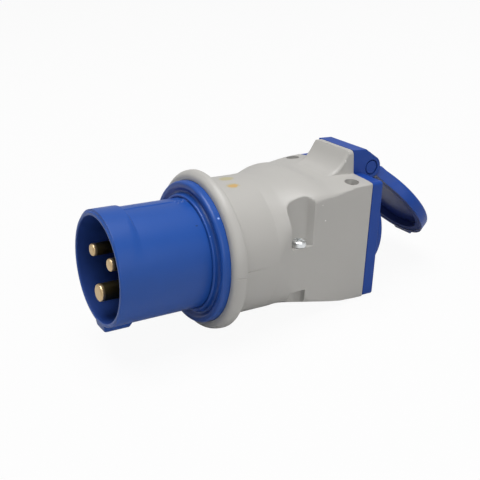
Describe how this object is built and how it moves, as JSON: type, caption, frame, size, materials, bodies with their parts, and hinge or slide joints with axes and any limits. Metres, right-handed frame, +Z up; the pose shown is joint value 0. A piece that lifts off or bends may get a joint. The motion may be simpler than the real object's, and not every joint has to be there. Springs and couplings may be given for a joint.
{
  "type": "pin and sleeve plug adaptor",
  "caption": "Short adaptor: blue pin and sleeve plug on a grey clamshell body with a flanged domestic socket and a hinged round lid.",
  "frame": {"origin": "on the plug's axis at the root of the sleeve, the plane where a connector's mouth stops", "axes": "+Y runs from the plug into the body and -Y out of the plug's mouth, +Z up to the lid's hinge with the earth pin below, +X to the right seen from the socket's side"},
  "size_m": [0.0644, 0.157, 0.0687],
  "materials": {
    "blue_plastic": "smooth moulded, satin gloss",
    "socket_blue": "smooth moulded, satin gloss",
    "lid_blue": "smooth moulded, satin gloss",
    "grey_plastic": "fine moulded grain, satin",
    "brass": "turned, slightly dulled",
    "zinc_steel": "bright zinc plate",
    "nickel": "nickel-plated spring strip",
    "inner_plastic": "moulded",
    "insert_plastic": "moulded",
    "brown_insulation": "smooth",
    "blue_insulation": "smooth",
    "green_insulation": "smooth",
    "seal_rubber": "matt"
  },
  "bodies": {
    "adaptor": {"plug_sleeve": "blue_plastic", "line_pin": "brass", "neutral_pin": "brass", "earth_pin": "brass", "pin_retainer": "inner_plastic", "retainer_screw": "zinc_steel", "pin_terminal_screws": "zinc_steel", "upper_shell": "grey_plastic", "lower_shell": "grey_plastic", "front_shell_screws": "zinc_steel", "rear_shell_screws": "zinc_steel", "socket_flange": "socket_blue", "frame_screws": "zinc_steel", "socket_insert": "insert_plastic", "insert_screw": "zinc_steel", "line_contact": "brass", "neutral_contact": "brass", "earth_clip": "nickel", "socket_terminal_screws": "zinc_steel", "line_wire": "brown_insulation", "neutral_wire": "blue_insulation", "earth_wire": "green_insulation", "hinge_pin": "socket_blue"},
    "lid": {"lid": "lid_blue", "lid_seal": "seal_rubber"}
  },
  "joints": [
    {"name": "lid_hinge", "type": "hinge", "parent": "adaptor", "child": "lid", "pos_m": [0, 0.0832, 0.028], "axis": [1, 0, 0], "range_deg": [-42, 53]}
  ]
}
